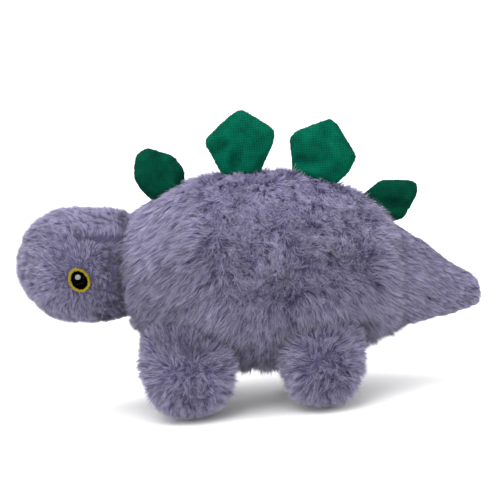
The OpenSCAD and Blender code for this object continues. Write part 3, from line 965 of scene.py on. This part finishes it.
def trunk_keeps(points):
    """True for a root that lies neither in a leg nor in the head."""
    leg = np.min([inside_leg(points, leg, LEG_PILE + 3) for leg in LEGS], axis=0)
    return (leg > 1) & (inside_head(points, HEAD_PILE + 3) > 1) & (points[:, 0] > NECK_X + 2.5)


def head_keeps(points):
    """True for a root that lies neither in the trunk nor under an eye."""
    return (inside_trunk(points, BODY_PILE + 2) > 1) & (eye_share(to_head(points)) > 0.93)


def leg_keeps(points):
    """True for a root that doesn't lie in the trunk."""
    return inside_trunk(points, BODY_PILE + 2) > 1


chest_pile = grow("chest_pile", chest, trunk_coat, trunk_keeps, 100)
rump_pile = grow("rump_pile", rump, trunk_coat, trunk_keeps, 200)
head_pile = grow("head_pile", head, head_coat, head_keeps, 300, width=0.28, dense=1.45)
leg_pile = {}
for place, leg in enumerate(LEGS):
    coat = functools.partial(leg_coat, leg=leg)
    leg_pile[leg] = grow(f"{leg}_leg_pile", legs[leg], coat, leg_keeps, 400 + 10 * place)

# %% [markdown]
# ## Back plates
#
# Each plate is two velour faces sewn together along the edge, turned inside out, filled with
# a little wadding and sewn into the back seam. The pattern is a pentagon with soft corners,
# but every plate has come out of the sewing a little different, leaning and dented in its own
# way. The table gives each plate's corners in its own frame, in millimetres: along the back,
# and out from it, measured from the plate's hinge. The base goes down into the pile.

# %% Plate outlines
PLATE_CORNERS = {
    1: [(-11, -10), (-15.5, 3), (-15.6, 15), (-7, 27.8), (3, 29), (16.5, 15.5), (19, 2), (12, -10)],
    2: [(-14, -10), (-17, -2), (-25.5, 16), (-24, 20.5), (-12, 30.5), (1.4, 40), (25, 23), (23.3, 12),
        (14, -4), (12, -10)],
    3: [(-16, -10), (-18, -3), (-24.6, 15), (-22.4, 21.5), (-1, 37), (6.4, 33.6), (24.6, 16.7), (23, 4),
        (17, -6), (13, -11)],
    4: [(-22, -9), (-20, -2), (-17, 13), (0.5, 25.8), (6, 26), (10, 20.5), (13.8, 1), (8, -6), (4, -10)],
}
# Dents and ridges on the left face: place, direction in degrees, half length, half width, depth.
PLATE_DENTS = {
    1: [(5, 10, 75, 12, 4.0, 2.6), (-7, 6, 110, 8, 3.0, 1.6)],
    2: [(-4, 3, 80, 8, 4.0, 5.0), (-14, 11, 40, 12, 3.0, 2.2), (9, 10, 115, 12, 3.2, 2.2),
        (-4, 25, 160, 14, 5, 1.6)],
    3: [(0, 25, 110, 8, 4.5, 5.0), (-9, 3, 20, 11, 4.5, 5.0), (9, 13, 130, 13, 3.5, -2.2),
        (15, 3, 60, 8, 3.5, 2.2)],
    4: [(-1, 4, 20, 10, 4.0, 5.0), (7, 11, 75, 11, 3.2, -2.0), (-9, 9, 50, 9, 3.2, 1.8)],
}
PLATE_THICK = 4.2


def rounded(corner_list):
    """A polygon with its corners cut off three times, first near the corner and then finer."""
    outline = np.array(corner_list, float)
    for cut in (0.13, 0.28, 0.28):
        ahead = np.roll(outline, -1, axis=0)
        pair = [outline + cut * (ahead - outline), ahead + cut * (outline - ahead)]
        outline = np.stack(pair, axis=1).reshape(-1, 2)
    return outline


def plate_rings(number):
    """Rings from the middle of one face over the edge to the middle of the other. A ring is
    the outline drawn in by its share, and the thickness falls from the middle to the edge."""
    outline = rounded(PLATE_CORNERS[number])
    middle = outline.mean(0)
    share = np.sin(np.linspace(-np.pi / 2, np.pi / 2, 25))
    half = np.sign(share) * PLATE_THICK * (1 - (1 - np.abs(share)) ** 2.2) ** 0.5
    reach = 1 - np.abs(share) ** 1.6
    flat = middle + reach[:, None, None] * (outline - middle)
    y = np.broadcast_to(half[:, None, None], (*flat.shape[:2], 1))
    return np.concatenate([flat[..., :1], y, flat[..., 1:]], axis=-1)


def plate_frame(number):
    """The plate's hinge in millimetres, and the rows that turn its own frame into the toy's."""
    joint = JOINT[f"plate_{number}_fold"]
    along = np.array(joint["axis"])
    across = np.array([0.0, 1.0, 0.0])
    return np.array(joint["pos_m"]) / MM, np.stack([along, across, np.cross(along, across)])


print("outlines of", len(PLATE_CORNERS), "plates")

# %% [markdown]
# ## Velour
#
# Cotton velour is a knit whose loops are sheared to a short upright nap. The rows of the knit
# still show as a fine grid, 1.7 mm apart. Seen from above the nap is dark and deep, and seen
# from the side it catches light, which is what sheen does. The grid is two crossed waves in
# object coordinates, once for the colour and once for a bump, and short spikes stand on it.
# The small plates get a darker green than the large ones.

# %% Velour material
KNIT_PITCH = 1.7
WAVE_TURN = math.pi / 10


def make_velour(name, deep, light):
    """A velour: the knit's grid and a cloud of worn nap choose between a deep and a light green."""
    velour, shader = cloth_material(name, light, 0.9, sheen=0.08, specular=0.05)
    shader.inputs["Sheen Roughness"].default_value = 0.35
    shader.inputs["Sheen Tint"].default_value = linear("#20c890")
    place = node(velour, "ShaderNodeTexCoord")
    rows = {"Scale": WAVE_TURN / (KNIT_PITCH * MM), "Distortion": 1.2, "Detail": 1.0}
    grid = node(velour, "ShaderNodeMath", {"operation": "MULTIPLY"})
    for socket, axis in enumerate("XZ"):
        knit = node(velour, "ShaderNodeTexWave", {"bands_direction": axis, **rows},
                    Vector=place.outputs["Object"])
        velour.node_tree.links.new(knit.outputs["Fac"], grid.inputs[socket])
    cloud = node(velour, "ShaderNodeTexNoise", {"Scale": 120.0, "Detail": 4.0},
                 Vector=place.outputs["Object"])
    mix = node(velour, "ShaderNodeMath", {"operation": "MULTIPLY_ADD", 1: 0.45})
    velour.node_tree.links.new(grid.outputs["Value"], mix.inputs[0])
    velour.node_tree.links.new(cloud.outputs["Fac"], mix.inputs[2])
    greens = node(velour, "ShaderNodeValToRGB", Fac=mix.outputs["Value"])
    for stop, (at, code) in zip(greens.color_ramp.elements, ((0.30, deep), (0.95, light))):
        stop.position, stop.color = at, linear(code)
    velour.node_tree.links.new(greens.outputs["Color"], shader.inputs["Base Color"])
    bump = node(velour, "ShaderNodeBump", {"Strength": 0.5, "Distance": 0.0004}, Height=grid.outputs["Value"])
    velour.node_tree.links.new(bump.outputs["Normal"], shader.inputs["Normal"])
    return velour


# The large plates 2 and 3 get the lighter green, the small plates 1 and 4 the darker one.
lighter_velour = make_velour("green_velour_lighter", "#00382a", "#006149")
darker_velour = make_velour("green_velour_darker", "#002a1e", "#004633")
velour_of = {1: darker_velour, 2: lighter_velour, 3: lighter_velour, 4: darker_velour}
print("velour ready")

# %% [markdown]
# ## Making the plates
#
# The lens between the two faces is remeshed fine, filled out a little against its edge seam,
# and then dented, and its nap is grown on it. The real plate bends between body and plate over
# its sewn base.

# %% Plates
PLATE_CELL, PLATE_PRESSURE = 1.7, 2500.0
NAP_LONG, NAP_WIDE, NAP_PER_MM2 = 0.75, 0.22, 3.2
SPIKE_FACES = np.array([[0, 2, 1], [0, 1, 3], [1, 2, 3], [2, 0, 3]])


def dented(local, number):
    """The plate's own points with its dents: a point of the left face moves in by the depth
    times a bell along and across each dent, and the right face follows by a third."""
    moved = local.copy()
    follow = np.where(local[:, 1] < 0, 1.0, 0.33) * ramp(np.abs(local[:, 1]), 0.2, 2.5)
    for x, z, degrees, long, wide, depth in PLATE_DENTS[number]:
        c, s = math.cos(math.radians(degrees)), math.sin(math.radians(degrees))
        right, up = local[:, 0] - x, local[:, 2] - z
        along, across = right * c + up * s, up * c - right * s
        moved[:, 1] += depth * follow * near(along, long) * near(across, wide)
    return moved


def nap_of(piece, name, velour, seed):
    """Short spikes of nap on a piece: four triangles each, leaning at random."""
    area = scatter(piece, 1, seed)[2]
    root, normal, _ = scatter(piece, int(area * NAP_PER_MM2), seed)
    rng = np.random.default_rng(seed)
    own = rng.normal(0, 1, root.shape)
    bowed = root[:, [0, 2]] + 0.35 * wave(root, 5, seed, 2)
    row = 0.5 - 0.5 * np.cos(2 * np.pi * bowed / KNIT_PITCH)
    tall = rng.uniform(0.6, 1.1, len(root)) * (0.4 + 0.6 * row.prod(1))
    tip = root + NAP_LONG * column(tall) * unit(normal + 0.35 * own)
    side = unit(np.cross(normal, own))
    third = np.cross(normal, side)
    low = root - 0.25 * normal
    turn = 2 * np.pi / 3 * np.arange(3)
    ring = [low + NAP_WIDE * (math.cos(t) * side + math.sin(t) * third) for t in turn]
    faces = (SPIKE_FACES[None] + 4 * np.arange(len(root))[:, None, None]).reshape(-1, 3)
    return piece_of(name, np.stack([*ring, tip], axis=1).reshape(-1, 3) * MM, faces, velour, smooth=False)


def make_plate(number):
    """One plate: the filled lens, its dents and its nap, in the toy's frame."""
    hinge, turn = plate_frame(number)
    velour = velour_of[number]
    lens = closed_surface(f"plate_{number}", plate_rings(number), velour)
    remeshed(lens, PLATE_CELL)
    lens.data.materials.clear()
    lens.data.materials.append(velour)
    fill_out(lens, near(corners(lens)[:, 1] / MM, 0.9), PLATE_PRESSURE, 1.2)
    local = dented(corners(lens) / MM, number)
    placed = (hinge + local @ turn) * MM
    lens.data.vertices.foreach_set("co", placed.astype(np.float32).ravel())
    lens.data.update()
    nap = nap_of(lens, f"plate_{number}_nap", velour, 500 + number)
    for piece in (lens, nap):
        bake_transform(piece)
    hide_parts(f"plate_{number}_left_face", f"plate_{number}_right_face", f"plate_{number}_wadding")
    print(lens.name, len(lens.data.polygons), "faces, nap", len(nap.data.polygons))


for number in PLATE_CORNERS:
    make_plate(number)

# %% [markdown]
# ## Eyes
#
# The eyes are machine embroidery on a small patch. Satin stitches lie side by side, each a
# thin thread that rises a little in its middle: across the ring's width for the yellow rim,
# along the eye for the black pupil, and a few white ones for the highlight. A stitch is a
# six-sided spindle of 36 triangles.

# %% Threads
thread_colours = {"yellow_thread": "#968402", "black_thread": "#010101", "white_thread": "#858783"}
threads = {}
for name, code in thread_colours.items():
    gloss = 0.0 if name == "black_thread" else 0.12
    threads[name], shader = cloth_material(f"rayon_{name}", code, 0.6, specular=gloss)
    spot = node(threads[name], "ShaderNodeTexCoord")
    cloud = node(threads[name], "ShaderNodeTexNoise", {"Scale": 900.0, "Detail": 2.0},
                 Vector=spot.outputs["Object"])
    shift = node(threads[name], "ShaderNodeHueSaturation", {"Color": linear(code)})
    value = node(threads[name], "ShaderNodeMapRange", {"To Min": 0.72, "To Max": 1.25},
                 Value=cloud.outputs["Fac"])
    threads[name].node_tree.links.new(value.outputs["Result"], shift.inputs["Value"])
    threads[name].node_tree.links.new(shift.outputs["Color"], shader.inputs["Base Color"])
print("threads:", list(threads))

# %% Stitches
THREAD = 0.42
SIDES = 6
SPINDLE = np.array([[0.10, 0.80, 0.55], [0.50, 1.00, 1.00], [0.90, 0.80, 0.55]])


def stitches(name, start, end, frame_rows, centre, rise, material):
    """Satin stitches from start to end points of the eye's own plane. Rings of six points at a
    tenth, half and nine tenths of the way, with a point at each end, and a rise in the middle."""
    count = len(start)
    along = unit(end - start)
    across = np.stack([-along[:, 1], along[:, 0]], axis=1)
    turn = 2 * np.pi * np.arange(SIDES) / SIDES
    rings = []
    for place, thick, lift in SPINDLE:
        aside = (THREAD / 2 * thick * np.cos(turn))[None, :, None] * across[:, None]
        spot = (start + place * (end - start))[:, None] + aside
        high = rise[:, None] * lift + THREAD / 2 * thick * np.sin(turn)[None]
        rings.append(np.concatenate([spot, high[..., None]], axis=-1))
    ends = [np.concatenate([p, 0.2 * rise[:, None]], axis=1)[:, None] for p in (start, end)]
    points = np.concatenate([ends[0], *rings, ends[1]], axis=1)
    one, here = [], np.arange(SIDES)
    nxt, last = (here + 1) % SIDES, 1 + 3 * SIDES
    one.append(np.stack([0 * here, 1 + nxt, 1 + here], 1))
    for row in (1, 1 + SIDES):
        one.append(np.stack([row + here, row + nxt, row + SIDES + nxt], 1))
        one.append(np.stack([row + here, row + SIDES + nxt, row + SIDES + here], 1))
    one.append(np.stack([1 + 2 * SIDES + here, 1 + 2 * SIDES + nxt, last + 0 * here], 1))
    one = np.concatenate(one)
    faces = (one[None] + points.shape[1] * np.arange(count)[:, None, None]).reshape(-1, 3)
    placed = (centre + points.reshape(-1, 3) @ frame_rows) * MM
    return faced_outwards(piece_of(name, placed, faces, material))


def on_oval(angle, inset):
    """Points of the eye's oval at angles from its tall axis, drawn in by an inset."""
    wide, tall = (EYE_HALF - inset) * np.sin(angle), (EYE_TALL - inset) * np.cos(angle)
    c, s = math.cos(EYE_TILT), math.sin(EYE_TILT)
    return np.stack([wide * c - tall * s, wide * s + tall * c], axis=1)


def filled_rows(middle, reach, seed):
    """Rows of stitches that fill an oval: one thread apart, parallel to its tall axis, each row
    cut into stitches of uneven length."""
    rng = np.random.default_rng(seed)
    half, tall = reach
    start, end = [], []
    for across in np.arange(-half + THREAD / 2, half, 0.85 * THREAD):
        long = tall * math.sqrt(max(0.0, 1 - (across / half) ** 2))
        cuts = max(1, round(2 * long / 4.5))
        marks = np.linspace(-long, long, cuts + 1)
        marks[1:-1] += rng.uniform(-0.9, 0.9, max(0, cuts - 1))
        start += [(across, a) for a in marks[:-1]]
        end += [(across, b) for b in marks[1:]]
    c, s = math.cos(EYE_TILT), math.sin(EYE_TILT)
    turned = np.array([[c, s], [-s, c]])
    return np.array(start) @ turned + middle, np.array(end) @ turned + middle


RING_WIDE, RING_STITCHES = 2.1, 84
EYE_SUNK = 2.8
SHINE_PLACE, SHINE_REACH = np.array([-0.9, 2.2]), (1.9, 2.0)


def make_eye(side_name, side):
    """One eye: patch, ring, pupil and highlight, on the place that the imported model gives, sunk
    a little into the pile."""
    low, high = (np.array(c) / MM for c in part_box(f"eye_{side_name}_backing"))
    centre = (low + high) / 2
    c, s = math.cos(HEAD_TILT), math.sin(HEAD_TILT)
    rows = np.array([[c, 0, -s], [s, 0, c], [0, side, 0]])
    centre = centre - EYE_SUNK * rows[2]
    angle = np.linspace(0, 2 * np.pi, RING_STITCHES, endpoint=False)
    rng = np.random.default_rng(600)
    lift = centre + 0.5 * rows[2]
    uneven = rng.uniform(-0.35, 0.35, (2, len(angle)))
    ring = stitches(
        f"eye_{side_name}_ring_stitches", on_oval(angle, RING_WIDE + uneven[0]),
        on_oval(angle + 0.09, uneven[1]), rows, lift, 0.75 + 0.1 * rng.random(len(angle)),
        threads["yellow_thread"],
    )
    start, end = filled_rows(np.zeros(2), (EYE_HALF - RING_WIDE, EYE_TALL - RING_WIDE), 601)
    pupil = stitches(f"eye_{side_name}_pupil_stitches", start, end, rows, lift,
                     0.55 + 0.1 * rng.random(len(start)), threads["black_thread"])
    start, end = filled_rows(SHINE_PLACE, SHINE_REACH, 602)
    shine = stitches(f"eye_{side_name}_highlight_stitches", start, end, rows, lift + 0.75 * rows[2],
                     0.35 + 0.1 * rng.random(len(start)), threads["white_thread"])
    share = np.sin(np.linspace(-np.pi / 2, np.pi / 2, 13))[:, None]
    rim = on_oval(ring_angles(48), 0.35)
    dome = rim[None] * np.sqrt(1 - share**2)[..., None]
    high = np.where(share > 0, 0.45, 4.5) * share
    lens = np.concatenate([dome, np.broadcast_to(high[..., None], (*dome.shape[:2], 1))], axis=-1)
    patch = closed_surface(f"eye_{side_name}_patch", centre + lens @ rows, patch_felt)
    for piece, part, slot in (
        (ring, "ring", "yellow_thread"), (pupil, "pupil", "black_thread"),
        (shine, "highlight", "white_thread"), (patch, "backing", "eye_backing"),
    ):
        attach(piece, "head")
        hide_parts(f"eye_{side_name}_{part}")
    print(side_name, "eye:", len(ring.data.polygons) + len(pupil.data.polygons), "faces of thread")


def speckled(name, dark, light, scale, rough=0.9):
    """A matt fibre material: two close tones mixed by a noise in object coordinates."""
    material, shader = cloth_material(name, light, rough, specular=0.1)
    spot = node(material, "ShaderNodeTexCoord")
    cloud = node(material, "ShaderNodeTexNoise", {"Scale": scale, "Detail": 5.0},
                 Vector=spot.outputs["Object"])
    mix = node(material, "ShaderNodeValToRGB", Fac=cloud.outputs["Fac"])
    for stop, (place, code) in zip(mix.color_ramp.elements, ((0.35, dark), (0.65, light))):
        stop.position, stop.color = place, linear(code)
    material.node_tree.links.new(mix.outputs["Color"], shader.inputs["Base Color"])
    bump = node(material, "ShaderNodeBump", {"Strength": 0.4, "Distance": 0.001}, Height=cloud.outputs["Fac"])
    material.node_tree.links.new(bump.outputs["Normal"], shader.inputs["Normal"])
    return material


patch_felt = speckled("embroidery_felt", "#2c2a30", "#3a3840", 1500.0)
make_eye("left", -1)
make_eye("right", 1)

# %% [markdown]
# ## What is inside
#
# The neck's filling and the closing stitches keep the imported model's own shapes, because they
# are hidden, and get materials of loose fibre and thread. The other fillings are stood for by
# the stuffed forms.

# %% Materials of the hidden parts
loose_fibre = speckled("loose_polyester_fibre", "#d8d6cc", "#f2f0e8", 400.0)
sewing_thread = speckled("lavender_sewing_thread", "#615c76", "#78728c", 3000.0, 0.6)
for name, cad in frame["nodes"].items():
    if not cad.hide_render:
        cad.data.materials.clear()
        cad.data.materials.append(sewing_thread if "stitches" in name else loose_fibre)
print("inner materials on the nodes that are left")

# %% [markdown]
# ## The forms in place of the panels
#
# The chest lies between body and neck, the head between neck and head, the rump between body
# and tail, and each leg between body and leg across its hip seam. Each form and its pile keep
# their place, and the imported panels and filling that the form stands for are hidden.

# %% Bake the forms in place


def bend(form, pile, a, b, start, end, fill, stands_for):
    """Bakes the placement of a form and its pile into their meshes. The form stands for the fabric
    panels and their filling, which are hidden."""
    for piece in (form, *pile):
        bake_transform(piece)
    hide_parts(*stands_for)


NECK_AT, NECK_UP = NECK_X * MM, NECK[2] * MM
bend(chest, chest_pile, "body", "neck", (NECK_AT + 0.036, 0, NECK_UP), (NECK_AT, 0, NECK_UP), 0.8,
     ["body_panel_left", "belly_panel_front", "body_stuffing"])
bend(rump, rump_pile, "body", "tail", (0.095, 0, 0.08), (0.130, 0, 0.08), 0.8,
     ["body_panel_right", "belly_panel_rear", "tail_panel_left", "tail_panel_right",
      "tail_stuffing"])
bend(head, head_pile, "neck", "head", (NECK_AT, 0, NECK_UP), (NECK_AT - 0.026, 0, NECK_UP), 0.8,
     ["head_panel_left", "head_panel_right", "head_stuffing"])
for leg, (middle, side, _) in LEGS.items():
    start, end = (middle * MM, side * 0.030, 0.056), (middle * MM, side * 0.038, 0.034)
    bend(legs[leg], leg_pile[leg], "body", f"{leg}_leg", start, end, 0.7,
         [f"{leg}_leg_outer", f"{leg}_leg_inner", f"{leg}_leg_stuffing"])
trunk_mesh = trunk.data
bpy.data.objects.remove(trunk)
bpy.data.meshes.remove(trunk_mesh)
total = sum(len(o.data.polygons) for o in bpy.data.objects if o.type == "MESH")
print("about", total, "faces in all")
